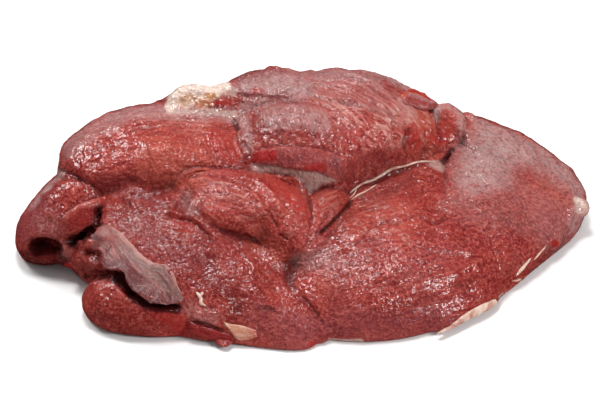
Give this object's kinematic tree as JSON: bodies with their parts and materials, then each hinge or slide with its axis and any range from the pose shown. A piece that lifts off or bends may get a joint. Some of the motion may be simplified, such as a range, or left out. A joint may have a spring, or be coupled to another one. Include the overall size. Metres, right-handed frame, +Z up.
{
  "type": "raw venison shoulder",
  "caption": "Raw boneless deer shoulder: a lobed slab of meat, thick at one end and thin at the other, with curled edges and a flat underside to rest on.",
  "frame": {"origin": "middle of the bounding box, on the flat surface that the meat rests on", "axes": "+X along the length towards the thin blade end, +Y towards the back, +Z up out of the resting surface"},
  "size_m": [0.306, 0.182, 0.08],
  "materials": {
    "meat": "moist raw red meat"
  },
  "bodies": {
    "root": {"venison_shoulder": "meat"}
  },
  "joints": []
}
